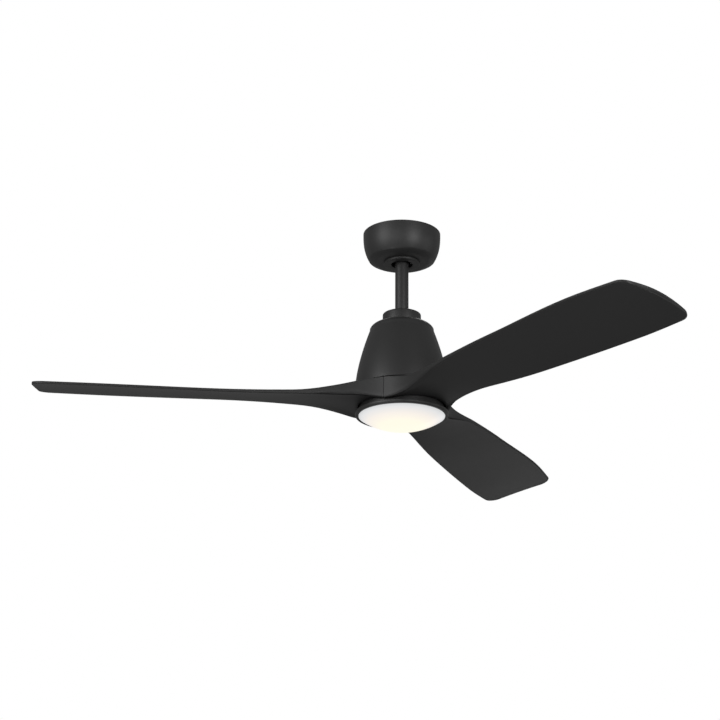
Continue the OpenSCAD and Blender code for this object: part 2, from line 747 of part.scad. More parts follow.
// Share of the collar's height that is left at k, on the upper and the lower side. On the lower side the rim's
// level runs straight on from the seam for a while, so the leading edge stays deep for longer
function upper_share(k, v) = let(w = (1 + v) / 2, left = 1 - k)
    (1 - w) * pow(1 - pow(k, 1.5), 4) + w * left * left * (3 - 2 * left);
function lower_share(k, v) = let(w = max(0, min(1, (-v - 0.4) / 0.4)))
    (1 - w) * pow(1 - k, 2.1) + w * pow(1 - pow(k, 2.2), 3.5);

// One point of the root, which leaves the collar's wall along a tangent (k = 0) and joins the blade (k = 1)
function root_point(i, k) = let(
    v = ring_v(i),
    theta = v * (60 - half_seam),
    start = [collar_r * cos(theta), collar_r * sin(theta)],
    join = section_point(i, root_end),
    after = section_point(i, root_end + 2),
    pull = norm([join[0], join[1]] - start),
    plan = hermite(
        start, [join[0], join[1]], pull * [cos(theta / 2), -sin(theta / 2)],
        pull * [1, (after[1] - join[1]) / 2], k
    ),
    half_t = half_thickness(v, ring_angle(i)),
    start_mid = middle_z(start[0], start[1], v),
    mid = middle_z(plan[0], plan[1], v),
    start_top = start_mid + half_t + root_extra(start[0]),
    top = mid + half_t + root_extra(plan[0]) + (collar_top_z - start_top) * upper_share(k, v),
    bottom = mid - half_t - (start_mid - half_t - rim_z(v)) * lower_share(k, v)
)
[plan[0], plan[1], ring_side(i) > 0 ? top : bottom];

function inner_point(i) = let(theta = ring_v(i) * (60 - half_seam), r = collar_r - collar_wall)
    [r * cos(theta), r * sin(theta), ring_side(i) > 0 ? collar_top_z : rim_z(ring_v(i))];

module blade_loft() {
    n = ring_points;
    rings = concat(
        [[for (i = [0 : n - 1]) inner_point(i)]],
        [for (j = [0 : root_rings]) [for (i = [0 : n - 1]) root_point(i, pow(j / root_rings, 1.3))]],
        [for (st = stations) [for (i = [0 : n - 1]) section_point(i, st[0], st[1])]]
    );
    last = len(rings) - 1;
    polyhedron(
        points = [for (ring = rings) for (p = ring) p],
        faces = concat(
            [for (i = [0 : n / 2 - 2]) [i, i + 1, n - 2 - i]],
            [for (i = [0 : n / 2 - 2]) [i, n - 2 - i, n - 1 - i]],
            [for (j = [0 : last - 1]) for (i = [0 : n - 1]) let(m = (i + 1) % n)
                [j * n + i, (j + 1) * n + i, (j + 1) * n + m]],
            [for (j = [0 : last - 1]) for (i = [0 : n - 1]) let(m = (i + 1) % n)
                [j * n + i, (j + 1) * n + m, j * n + m]],
            [[for (i = [n - 1 : -1 : 0]) last * n + i]]
        )
    );
}

module blade(azimuth) {
    web_r = collar_r - collar_wall / 2;
    web_half_gap = asin((seam_gap / 2 + 0.5) / web_r);
    color(BLACK) rotate([0, 0, azimuth]) difference() {
        union() {
            blade_loft();
            translate([0, 0, web_bottom_z]) ring_arc(web_r, hub_neck_r - 4, web_t, 120 - 2 * web_half_gap);
        }
        translate([0, 0, web_bottom_z]) at_angles(blade_screw_angles, blade_screw_pcr) hole(M5[0] + fit, web_t);
    }
}

module blade_1() { blade(blade_azimuths[0]); }
module blade_2() { blade(blade_azimuths[1]); }
module blade_3() { blade(blade_azimuths[2]); }

module blade_plate(azimuth) {
    color(ZINC) rotate([0, 0, azimuth]) translate([0, 0, web_bottom_z - plate_t]) difference() {
        ring_arc(blade_screw_pcr + 10, blade_screw_pcr - 10, plate_t, 96);
        at_angles(blade_screw_angles, blade_screw_pcr) hole(M5[0] + fit, plate_t);
    }
}

module blade_plate_1() { blade_plate(blade_azimuths[0]); }
module blade_plate_2() { blade_plate(blade_azimuths[1]); }
module blade_plate_3() { blade_plate(blade_azimuths[2]); }

module blade_screws() {
    color(ZINC) translate([0, 0, web_bottom_z - plate_t])
        at_angles([for (b = blade_azimuths) for (a = blade_screw_angles) a + b], blade_screw_pcr)
            screw(M5, plate_t + web_t + hub_flange_t - 0.5);
}

// ---------------------------------------------------------------- light
module light_bracket() {
    color(ZINC) translate([0, 0, pan_top_z]) difference() {
        cylinder(r = 60, h = light_bracket_t);
        hole(shaft_r + fit, light_bracket_t);
        around(3, pan_screw_pcr, 90) hole(M4[0] + fit, light_bracket_t);
    }
}

module light_nut() {
    color(STEEL) translate([0, 0, pan_top_z - nut_h]) difference() {
        cylinder(r = 14, h = nut_h, $fn = 6);
        hole(shaft_r + fit, nut_h);
    }
}

module light_pan() {
    color(BLACK) difference() {
        union() {
            difference() {
                translate([0, 0, trim_top_z]) cylinder(r = pan_r, h = pan_top_z - trim_top_z);
                translate([0, 0, trim_top_z + pan_wall])
                    cylinder(r = pan_r - pan_wall, h = pan_top_z - trim_top_z - 2 * pan_wall);
                translate([0, 0, trim_top_z - 1]) cylinder(r = pan_r - pan_flange_in, h = 10);
            }
            translate([0, 0, led_plate_z]) at_angles(post_angles, post_pcr)
                cylinder(r = post_r, h = pan_top_z - led_plate_z - pan_wall / 2);
        }
        translate([0, 0, pan_top_z - pan_wall]) hole(18, pan_wall);
        translate([0, 0, pan_top_z - pan_wall]) around(3, pan_screw_pcr, 90) hole(M4[0] + fit, pan_wall);
        translate([0, 0, trim_top_z]) around(3, trim_screw_pcr, 90) hole(M3[0] + fit, pan_wall);
        translate([0, 0, led_plate_z]) at_angles(post_angles, post_pcr) hole(M3[0] + fit, 6);
    }
}

module light_pan_screws() {
    color(ZINC) translate([0, 0, pan_top_z - pan_wall]) around(3, pan_screw_pcr, 90)
        screw(M4, pan_wall + light_bracket_t);
}

module led_driver() {
    color(WHITE) translate([0, driver_y, driver_z]) difference() {
        translate([-driver_size[0] / 2, -driver_size[1] / 2, 0]) cube(driver_size);
        for (side = [-1, 1])
            translate([side * (driver_size[0] / 2 - driver_hole_in), 0, 0]) hole(M3[0] + fit, driver_size[2]);
    }
}

module driver_screws() {
    color(ZINC) for (side = [-1, 1])
        translate([side * (driver_size[0] / 2 - driver_hole_in), driver_y, driver_z]) screw(M3, driver_size[2]);
}

module led_plate() {
    color(CAST) translate([0, 0, led_plate_z - led_plate_t]) difference() {
        cylinder(r = board_d / 2 + 2, h = led_plate_t);
        at_angles(post_angles, post_pcr) hole(M3[0] + fit, led_plate_t);
    }
}

module led_board() {
    color(WHITE) translate([0, 0, board_z]) difference() {
        cylinder(r = board_d / 2, h = board_t);
        at_angles(post_angles, post_pcr) hole(M3[0] + fit, board_t);
    }
}

module led_chips() {
    chip = [3.5, 3.5, 0.9];
    color(YELLOW) translate([0, 0, board_z - chip[2]]) for (ring = [[8, 18], [14, 34], [20, 50]])
        around(ring[0], ring[1], 9) translate([-chip[0] / 2, -chip[1] / 2, 0]) cube(chip);
}

module led_board_screws() {
    color(ZINC) translate([0, 0, board_z]) at_angles(post_angles, post_pcr) screw(M3, board_t + led_plate_t + 5);
}

module trim_ring() {
    taper = 1.6;
    web_in = pan_r - pan_flange_in;
    ledge_z = trim_bottom_z + trim_lip_t;
    color(BLACK) difference() {
        rotate_extrude() polygon([
            [web_in, trim_top_z], [trim_r - 0.8, trim_top_z], [trim_r, trim_top_z - 0.8],
            [trim_r, trim_bottom_z + trim_h * 0.45], [trim_r - taper, trim_bottom_z],
            [lens_r + lens_fit, trim_bottom_z], [lens_r + lens_fit, ledge_z], [groove_r, ledge_z],
            [groove_r, trim_top_z - trim_web_t], [web_in, trim_top_z - trim_web_t]
        ]);
        translate([0, 0, trim_top_z - trim_web_t]) around(3, trim_screw_pcr, 90) hole(M3[0] + fit, trim_web_t);
        translate([0, 0, trim_bottom_z - 1]) around(3, 0, lug_twist)
            ring_arc(groove_r, lens_r - 1, trim_lip_t + 1 + eps, lug_angle + 3);
    }
}

module trim_screws() {
    color(ZINC) translate([0, 0, trim_top_z - trim_web_t]) around(3, trim_screw_pcr, 90)
        screw(M3, trim_web_t + pan_wall);
}

module lens() {
    rim_top_z = trim_top_z - trim_web_t - 0.5;
    color(OPAL) union() {
        difference() {
            union() {
                translate([0, 0, trim_bottom_z]) cylinder(r = lens_r, h = rim_top_z - trim_bottom_z);
                intersection() {
                    translate([0, 0, trim_bottom_z - lens_dome + dome_r]) sphere(r = dome_r);
                    translate([0, 0, trim_bottom_z - lens_dome - 1])
                        cylinder(r = lens_r, h = lens_dome + 1 + eps);
                }
            }
            translate([0, 0, trim_bottom_z - eps]) cylinder(r = lens_r - lens_wall, h = trim_h + 1);
            intersection() {
                translate([0, 0, trim_bottom_z - lens_dome + dome_r]) sphere(r = dome_r - lens_wall);
                translate([0, 0, trim_bottom_z - lens_dome - 1])
                    cylinder(r = lens_r - lens_wall, h = lens_dome + 1);
            }
        }
        translate([0, 0, trim_bottom_z + trim_lip_t + 0.4]) around(3, 0)
            ring_arc(lens_r + lug_w, lens_r - 0.5, lug_h, lug_angle);
    }
}

hanger_bracket();
ground_screw();
receiver();
receiver_clip();
canopy();
canopy_screws();
canopy_ring();
hanger_ball();
ball_pin();
ball_set_screw();
downrod();
lead_wires();
lead_plug();
light_plug();
yoke();
yoke_pin();
yoke_clip();
yoke_bolts();
coupling_cover();
motor_housing();
housing_screws();
motor_shaft();
stator_core();
stator_windings();
rotor_upper_cover();
rotor_lower_cover();
rotor_magnets();
rotor_screws();
upper_bearing_inner();
upper_bearing_outer();
upper_bearing_balls();
lower_bearing_inner();
lower_bearing_outer();
lower_bearing_balls();
blade_hub();
hub_screws();
blade_1();
blade_2();
blade_3();
blade_plate_1();
blade_plate_2();
blade_plate_3();
blade_screws();
light_bracket();
light_nut();
light_pan();
light_pan_screws();
led_driver();
driver_screws();
led_plate();
led_board();
led_chips();
led_board_screws();
trim_ring();
trim_screws();
lens();
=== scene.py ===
"""A black ceiling fan with a light: turned metal covers, three swept blades and a lit opal diffuser."""
import json
import math

import bmesh
import bpy
from mathutils import Matrix, Vector


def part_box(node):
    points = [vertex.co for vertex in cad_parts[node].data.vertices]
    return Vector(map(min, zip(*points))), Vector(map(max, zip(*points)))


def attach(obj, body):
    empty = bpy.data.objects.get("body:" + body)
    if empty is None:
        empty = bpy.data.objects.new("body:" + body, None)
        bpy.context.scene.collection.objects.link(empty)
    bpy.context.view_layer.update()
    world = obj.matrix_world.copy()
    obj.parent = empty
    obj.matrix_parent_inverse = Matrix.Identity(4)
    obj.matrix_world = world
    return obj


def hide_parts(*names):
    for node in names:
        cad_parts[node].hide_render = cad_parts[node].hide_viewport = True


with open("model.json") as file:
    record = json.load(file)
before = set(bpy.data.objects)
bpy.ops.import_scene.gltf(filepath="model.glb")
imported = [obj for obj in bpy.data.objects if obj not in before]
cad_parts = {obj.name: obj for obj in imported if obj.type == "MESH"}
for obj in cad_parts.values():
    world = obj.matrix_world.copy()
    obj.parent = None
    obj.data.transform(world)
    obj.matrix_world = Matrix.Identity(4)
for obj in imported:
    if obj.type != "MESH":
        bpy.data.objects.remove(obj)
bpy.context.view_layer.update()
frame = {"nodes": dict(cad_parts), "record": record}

MM = 0.001
WHITE = (1, 1, 1, 1)


def grey(value):
    return (value, value, value, 1)


# ------------------------------------------------------------------ node groups
def new_group(name, inputs, outputs):
    """An empty shader node group with inputs {name: default} and outputs {name: kind of socket}."""
    group = bpy.data.node_groups.new(name, "ShaderNodeTree")
    for title, default in inputs.items():
        kind = "NodeSocketColor" if isinstance(default, tuple) else "NodeSocketFloat"
        socket = group.interface.new_socket(title, in_out="INPUT", socket_type=kind)
        socket.default_value = default
    for title, kind in outputs.items():
        group.interface.new_socket(title, in_out="OUTPUT", socket_type=kind)
    start = group.nodes.new("NodeGroupInput")
    end = group.nodes.new("NodeGroupOutput")
    return group, start, end


def node(tree, kind, **values):
    """Adds a node. Words that are sockets set the socket, and the rest set the node."""
    made = tree.nodes.new(kind)
    for key, value in values.items():
        title = key.replace("_", " ").title()
        if title in made.inputs:
            made.inputs[title].default_value = value
        else:
            setattr(made, key, value)
    return made


def distance_from_axis(tree):
    """The split object coordinates, and the distance from the fan's axis."""
    place = node(tree, "ShaderNodeTexCoord")
    split = node(tree, "ShaderNodeSeparateXYZ")
    tree.links.new(place.outputs["Object"], split.inputs["Vector"])
    flat = node(tree, "ShaderNodeCombineXYZ")
    tree.links.new(split.outputs["X"], flat.inputs["X"])
    tree.links.new(split.outputs["Y"], flat.inputs["Y"])
    radius = node(tree, "ShaderNodeVectorMath", operation="LENGTH")
    tree.links.new(flat.outputs["Vector"], radius.inputs[0])
    return split, radius


def make_mottle():
    """Slow drift between two tones and two roughnesses, as in any sprayed or moulded surface."""
    inputs = {"Scale": 9.0, "Dark": grey(0.02), "Light": grey(0.03), "Smooth": 0.4, "Rough": 0.5}
    outputs = {"Color": "NodeSocketColor", "Roughness": "NodeSocketFloat"}
    group, start, end = new_group("mottle", inputs, outputs)
    place = node(group, "ShaderNodeTexCoord")
    slow = node(group, "ShaderNodeTexNoise", detail=3.0)
    group.links.new(place.outputs["Object"], slow.inputs["Vector"])
    group.links.new(start.outputs["Scale"], slow.inputs["Scale"])
    tone = node(group, "ShaderNodeMix", data_type="RGBA")
    group.links.new(slow.outputs["Fac"], tone.inputs["Factor"])
    group.links.new(start.outputs["Dark"], tone.inputs["A"])
    group.links.new(start.outputs["Light"], tone.inputs["B"])
    group.links.new(tone.outputs["Result"], end.inputs["Color"])
    sheen = node(group, "ShaderNodeMapRange")
    group.links.new(slow.outputs["Fac"], sheen.inputs["Value"])
    group.links.new(start.outputs["Smooth"], sheen.inputs["To Min"])
    group.links.new(start.outputs["Rough"], sheen.inputs["To Max"])
    group.links.new(sheen.outputs["Result"], end.inputs["Roughness"])
    return group


def make_orange_peel():
    """Two sizes of fine bumps: the flow of the coat and the grain in it."""
    flow_scale, bump_height = 160.0, 0.4 * MM
    group, start, end = new_group("orange_peel", {"Scale": 900.0, "Depth": 0.05},
                                  {"Normal": "NodeSocketVector"})
    place = node(group, "ShaderNodeTexCoord")
    grain = node(group, "ShaderNodeTexNoise", detail=2.0)
    group.links.new(place.outputs["Object"], grain.inputs["Vector"])
    group.links.new(start.outputs["Scale"], grain.inputs["Scale"])
    flow = node(group, "ShaderNodeTexNoise", scale=flow_scale, detail=2.0)
    group.links.new(place.outputs["Object"], flow.inputs["Vector"])
    both = node(group, "ShaderNodeMath", operation="ADD")
    group.links.new(grain.outputs["Fac"], both.inputs[0])
    group.links.new(flow.outputs["Fac"], both.inputs[1])
    bump = node(group, "ShaderNodeBump", distance=bump_height)
    group.links.new(start.outputs["Depth"], bump.inputs["Strength"])
    group.links.new(both.outputs["Value"], bump.inputs["Height"])
    group.links.new(bump.outputs["Normal"], end.inputs["Normal"])
    return group


def make_turning_lines():
    """Fine rings about the fan's axis, as a lathe or a spun sheet leaves them."""
    bump_height = 0.2 * MM
    group, start, end = new_group("turning_lines", {"Scale": 900.0, "Depth": 0.1},
                                  {"Normal": "NodeSocketVector"})
    split, radius = distance_from_axis(group)
    line = node(group, "ShaderNodeCombineXYZ")
    group.links.new(radius.outputs["Value"], line.inputs["X"])
    group.links.new(split.outputs["Z"], line.inputs["Y"])
    cut = node(group, "ShaderNodeTexNoise", detail=3.0)
    group.links.new(line.outputs["Vector"], cut.inputs["Vector"])
    group.links.new(start.outputs["Scale"], cut.inputs["Scale"])
    bump = node(group, "ShaderNodeBump", distance=bump_height)
    group.links.new(start.outputs["Depth"], bump.inputs["Strength"])
    group.links.new(cut.outputs["Fac"], bump.inputs["Height"])
    group.links.new(bump.outputs["Normal"], end.inputs["Normal"])
    return group


MOTTLE = make_mottle()
ORANGE_PEEL = make_orange_peel()
TURNING_LINES = make_turning_lines()


# ------------------------------------------------------------------ materials
def new_material(name, **values):
    """A material with a Principled BSDF whose plain sockets are set directly."""
    made = bpy.data.materials.new(name)
    made.use_nodes = True
    shader = made.node_tree.nodes["Principled BSDF"]
    for key, value in values.items():
        shader.inputs[key.replace("_", " ").replace("Ior", "IOR")].default_value = value
    return made, made.node_tree, shader


def use_group(tree, group, **values):
    made = tree.nodes.new("ShaderNodeGroup")
    made.node_tree = group
    for key, value in values.items():
        made.inputs[key].default_value = value
    return made


def finished(name, dark, light, rough, peel=None, lines=None, mottle_scale=9.0, **values):
    """A surface with a mottle, and either a grained coat or turning lines."""
    made, tree, shader = new_material(name, **values)
    tone = use_group(tree, MOTTLE, Scale=mottle_scale, Dark=dark, Light=light,
                     Smooth=rough[0], Rough=rough[1])
    tree.links.new(tone.outputs["Color"], shader.inputs["Base Color"])
    tree.links.new(tone.outputs["Roughness"], shader.inputs["Roughness"])
    if peel:
        coat = use_group(tree, ORANGE_PEEL, Scale=peel[0], Depth=peel[1])
        tree.links.new(coat.outputs["Normal"], shader.inputs["Normal"])
    if lines:
        cut = use_group(tree, TURNING_LINES, Scale=lines[0], Depth=lines[1])
        tree.links.new(cut.outputs["Normal"], shader.inputs["Normal"])
    return made


def opal_material():
    """The lit diffuser: warm in the middle, cooler and a little dimmer towards its rim."""
    made, tree, shader = new_material("opal_lit", Emission_Strength=1.0)
    radius = distance_from_axis(tree)[1]
    share = node(tree, "ShaderNodeMapRange")
    share.inputs["From Max"].default_value = LENS_R
    tree.links.new(radius.outputs["Value"], share.inputs["Value"])
    glow = node(tree, "ShaderNodeValToRGB")
    # Share of the radius and colour of the light there
    stops = [(0.0, (0.93, 0.88, 0.73)), (0.5, (0.91, 0.86, 0.71)), (0.75, (0.82, 0.76, 0.70)),
             (0.93, (0.66, 0.66, 0.67)), (1.0, (0.56, 0.57, 0.58))]
    ramp = glow.color_ramp
    while len(ramp.elements) < len(stops):
        ramp.elements.new(0.5)
    for element, (position, colour) in zip(ramp.elements, stops):
        element.position = position
        element.color = (*colour, 1)
    tree.links.new(share.outputs["Result"], glow.inputs["Fac"])
    tree.links.new(glow.outputs["Color"], shader.inputs["Emission Color"])
    tone = use_group(tree, MOTTLE, Scale=14.0, Dark=(0.22, 0.22, 0.21, 1), Light=(0.25, 0.25, 0.24, 1),
                     Smooth=0.3, Rough=0.4)
    tree.links.new(tone.outputs["Color"], shader.inputs["Base Color"])
    tree.links.new(tone.outputs["Roughness"], shader.inputs["Roughness"])
    return made


def stage_material(name, tone):
    """A pale floor that glows for the camera only, so it looks evenly lit."""
    made, tree, shader = new_material(name, Roughness=0.9)
    mottled = use_group(tree, MOTTLE, Scale=2.0, Dark=grey(tone * 0.98), Light=grey(tone))
    tree.links.new(mottled.outputs["Color"], shader.inputs["Base Color"])
    tree.links.new(mottled.outputs["Color"], shader.inputs["Emission Color"])
    path = tree.nodes.new("ShaderNodeLightPath")
    tree.links.new(path.outputs["Is Camera Ray"], shader.inputs["Emission Strength"])
    return made


# ------------------------------------------------------------------ making pieces
WELD = 0.001 * MM
ROUND_STEPS = 144


def finish_piece(name, bm, body, slot, material, replaces=(), smooth_angle=35, subdivide=0):
    """Turns a bmesh into a shaded piece that rides on a body."""
    bmesh.ops.remove_doubles(bm, verts=bm.verts, dist=WELD)
    bmesh.ops.recalc_face_normals(bm, faces=bm.faces)
    mesh = bpy.data.meshes.new(name)
    bm.to_mesh(mesh)
    bm.free()
    mesh.shade_smooth()
    mesh.set_sharp_from_angle(angle=math.radians(smooth_angle))
    piece = bpy.data.objects.new(name, mesh)
    bpy.context.scene.collection.objects.link(piece)
    mesh.materials.append(material)
    if subdivide:
        levels = piece.modifiers.new("smooth", "SUBSURF")
        levels.levels = subdivide
        levels.render_levels = subdivide
    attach(piece, body)
    if replaces:
        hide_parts(*replaces)
    return piece


def outline_loop(bm, points, rounds):
    """A closed outline in the XZ plane. rounds gives {point: radius} for the corners to round."""
    verts = [bm.verts.new((r, 0, z)) for r, z in points]
    for a, b in zip(verts, verts[1:] + verts[:1]):
        bm.edges.new((a, b))
    for index, radius in rounds.items():
        bmesh.ops.bevel(bm, geom=[verts[index]], offset=radius, offset_type="OFFSET", segments=5,
                        profile=0.5, affect="VERTICES", material=-1)


def spin_round(bm, steps=ROUND_STEPS):
    """Turns everything drawn so far once round the fan's axis."""
    bmesh.ops.spin(bm, geom=bm.verts[:] + bm.edges[:], cent=(0, 0, 0), axis=(0, 0, 1), dvec=(0, 0, 0),
                   angle=2 * math.pi, steps=steps, use_merge=True, use_duplicate=False)


def turned(name, points, body, slot, material, rounds=None, steps=ROUND_STEPS, **extra):
    """A piece turned about the fan's axis from an outline of (radius, height) points."""
    bm = bmesh.new()
    outline_loop(bm, points, rounds or {})
    spin_round(bm, steps)
    return finish_piece(name, bm, body, slot, material, **extra)


def low(name):
    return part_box(name)[0]


def high(name):
    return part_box(name)[1]


def radius_of(name):
    """Outer radius of a round node, from its box."""
    return (high(name)[0] - low(name)[0]) / 2


# ------------------------------------------------------------------ sizes, from the frame
LENS_R = 84.1 * MM
LUG_AZIMUTHS, LUG_SWEEP = (0, 120, 240), math.radians(12)
CANOPY_R = radius_of("canopy")
COLLAR_R = radius_of("motor_housing")
ROD_R = radius_of("downrod")

# ------------------------------------------------------------------ finishes: dark and light tone, roughness
BLACK_COAT = finished("black_powder_coat", grey(0.016), grey(0.022), (0.42, 0.5), peel=(1400.0, 0.10),
                      Specular_IOR_Level=0.45)
BLACK_BLADE = finished("black_blade_finish", grey(0.014), grey(0.019), (0.46, 0.54), peel=(1100.0, 0.06),
                       mottle_scale=5.0, Specular_IOR_Level=0.42)
BALL_BLACK = finished("ball_plastic", grey(0.010), grey(0.016), (0.35, 0.45), peel=(1800.0, 0.05))
ZINC_PLATE = finished("zinc_plate", (0.50, 0.51, 0.53, 1), (0.62, 0.62, 0.63, 1), (0.28, 0.42),
                      peel=(700.0, 0.04), mottle_scale=60.0, Metallic=1.0)
BRIGHT_STEEL = finished("turned_steel", grey(0.58), grey(0.66), (0.2, 0.32), lines=(2600.0, 0.25),
                        Metallic=1.0)
CAST_METAL = finished("cast_aluminium", (0.55, 0.56, 0.57, 1), (0.66, 0.67, 0.68, 1), (0.45, 0.6),
                      peel=(900.0, 0.35), mottle_scale=40.0, Metallic=1.0)
LAMINATION = finished("laminated_core", grey(0.16), grey(0.25), (0.4, 0.55), lines=(3000.0, 0.6),
                      Metallic=0.9)
MAGNET = finished("sintered_magnet", grey(0.05), grey(0.09), (0.5, 0.6), peel=(900.0, 0.2), Metallic=0.6)
COPPER = finished("enamelled_copper", (0.45, 0.15, 0.05, 1), (0.62, 0.25, 0.09, 1), (0.25, 0.35),
                  lines=(1800.0, 0.8), Metallic=0.9)
GREEN_PAINT = finished("green_paint", (0.02, 0.20, 0.06, 1), (0.03, 0.28, 0.09, 1), (0.35, 0.45),
                       peel=(900.0, 0.05))
DARK_PLASTIC = finished("receiver_plastic", grey(0.035), grey(0.05), (0.5, 0.6), peel=(1500.0, 0.2))
WHITE_PLASTIC = finished("white_plastic", grey(0.68), grey(0.76), (0.4, 0.5), peel=(1500.0, 0.05))
WIRE_COVER = finished("wire_cover", grey(0.10), grey(0.16), (0.4, 0.5), peel=(1500.0, 0.05))
BOARD_WHITE = finished("board_white", grey(0.74), grey(0.82), (0.25, 0.35), peel=(1500.0, 0.05))
LED_PHOSPHOR = finished("led_phosphor", (0.85, 0.62, 0.08, 1), (0.92, 0.72, 0.14, 1), (0.3, 0.4),
                        peel=(3000.0, 0.1))
OPAL = opal_material()

SLOT_MATERIALS = {
    "black_paint": BLACK_COAT, "black_blade": BLACK_BLADE, "ball_plastic": BALL_BLACK,
    "zinc_steel": ZINC_PLATE, "bright_steel": BRIGHT_STEEL, "cast_aluminium": CAST_METAL,
    "lamination": LAMINATION, "magnet": MAGNET, "copper_wire": COPPER, "green_screw": GREEN_PAINT,
    "receiver_plastic": DARK_PLASTIC, "white_plastic": WHITE_PLASTIC, "wire_cover": WIRE_COVER,
    "board_white": BOARD_WHITE, "led_yellow": LED_PHOSPHOR, "opal": OPAL,
}


def finish_nodes():
    """Gives every CAD node that stays the finish of its material slot."""
    for part in frame["record"]["subparts"]:
        mesh = frame["nodes"][part["node"]].data
        mesh.materials.clear()
        mesh.materials.append(SLOT_MATERIALS[part["material_slot"]])


# ------------------------------------------------------------------ canopy, rod and cover
def canopy_outline(inset, hole_r, steps=26):
    """From the rim down the bowed side, over the crease and along the shallow bottom to the hole."""
    height = high("canopy")[2] - low("canopy")[2]
    crease_in, crease_drop, flat_r, bow = 11.5 * MM, 5.6 * MM, 48 * MM, 2.75
    side = [(CANOPY_R - inset - crease_in * (i / steps) ** bow,
             -(height - crease_drop - inset) * i / steps) for i in range(steps + 1)]
    crease_r, base_steps = CANOPY_R - crease_in - inset, 8
    base = [(crease_r + (flat_r - crease_r) * i / base_steps,
             -height + inset + crease_drop * (1 - i / base_steps) ** 2) for i in range(1, base_steps + 1)]
    return side + base + [(hole_r, -height + inset)]


def make_canopy():
    wall, hole_r = 1.2 * MM, 24 * MM
    points = canopy_outline(0, hole_r) + canopy_outline(wall, hole_r)[::-1]
    turned("canopy_shell", points, "mount", "black_paint", BLACK_COAT, replaces=["canopy"], smooth_angle=50)


def make_canopy_ring():
    """The twist ring, with the groove that clears the canopy screws."""
    bottom, top = low("canopy_ring")[2], high("canopy_ring")[2]
    outer, hole = radius_of("canopy_ring"), 21.5 * MM
    groove_out, groove_in, groove_top = 34.9 * MM, 26.1 * MM, top - 2.6 * MM
    points = [(hole, bottom), (outer, bottom), (outer, top), (groove_out, top), (groove_out, groove_top),
              (groove_in, groove_top), (groove_in, top), (hole, top)]
    turned("canopy_twist_ring", points, "canopy_ring", "black_paint", BLACK_COAT,
           rounds={0: 0.8 * MM, 1: 1.4 * MM}, replaces=["canopy_ring"])


def make_downrod():
    bottom, top = low("downrod")[2], high("downrod")[2]
    wall, edge_round = 2.3 * MM, 0.5 * MM
    bore = ROD_R - wall
    points = [(bore, bottom), (ROD_R, bottom), (ROD_R, top), (bore, top)]
    rounds = {index: edge_round for index in range(len(points))}
    turned("downrod_tube", points, "hanger", "black_paint", BLACK_COAT, rounds=rounds, steps=96,
           replaces=["downrod"])


def make_coupling_cover():
    bottom, top = low("coupling_cover")[2], high("coupling_cover")[2]
    outer, wall, play = radius_of("coupling_cover"), 2 * MM, 0.35 * MM
    hole = ROD_R + play
    points = [(hole, top - wall), (hole, top), (outer, top), (outer, bottom), (outer - wall, bottom),
              (outer - wall, top - wall)]
    turned("coupling_cover_cup", points, "coupling_cover", "black_paint", BLACK_COAT,
           rounds={1: 0.5 * MM, 2: 3 * MM, 3: 0.5 * MM}, replaces=["coupling_cover"])


# ------------------------------------------------------------------ motor housing
def housing_outline(inset, hole_r):
    """From the lower rim up the bowed slope, round the shoulder and in to the hole under the cover."""
    bottom, top = low("motor_housing")[2], high("motor_housing")[2]
    height = top - bottom
    shoulder_in, shoulder_r, shoulder_h, bow, steps = 28.1 * MM, 17 * MM, 14.6 * MM, 1.58, 40
    slope = [(COLLAR_R - inset - shoulder_in * (i / steps) ** bow, bottom + (height - shoulder_h) * i / steps)
             for i in range(steps + 1)]
    lean, step_down, flat_r = 0.91, 1 * MM, 37 * MM
    centre_r = COLLAR_R - shoulder_in - lean * shoulder_r
    centre_z = top - step_down - shoulder_r
    turn = [math.radians(angle) for angle in range(26, 91, 8)]
    shoulder = [(centre_r + (shoulder_r - inset) * math.cos(a), centre_z + (shoulder_r - inset) * math.sin(a))
                for a in turn]
    return slope + shoulder + [(flat_r, top - inset), (hole_r, top - inset)]


def make_housing():
    wall, hole_r = 1.5 * MM, 20.9 * MM
    points = housing_outline(0, hole_r) + housing_outline(wall, hole_r)[::-1]
    turned("motor_housing_shell", points, "hanger", "black_paint", BLACK_COAT, replaces=["motor_housing"],
           smooth_angle=50)


# ------------------------------------------------------------------ light
def make_trim_ring():
    """A ring with a bevelled foot, a groove for the lens lugs and a web above it."""
    bottom, top = low("trim_ring")[2], high("trim_ring")[2]
    outer, web_in, web_t = radius_of("trim_ring"), 70 * MM, 2 * MM
    lip_in, groove = LENS_R + 0.4 * MM, LENS_R + 2.8 * MM
    bevel_in, bevel_h, ledge = 1.6 * MM, 3.2 * MM, bottom + 2.3 * MM
    points = [(web_in, top), (outer, top), (outer, bottom + bevel_h), (outer - bevel_in, bottom),
              (lip_in, bottom), (lip_in, ledge), (groove, ledge), (groove, top - web_t), (web_in, top - web_t)]
    turned("trim_ring_band", points, "hanger", "black_paint", BLACK_COAT,
           rounds={1: 0.9 * MM, 2: 1.2 * MM, 3: 0.7 * MM, 4: 0.6 * MM}, replaces=["trim_ring"])


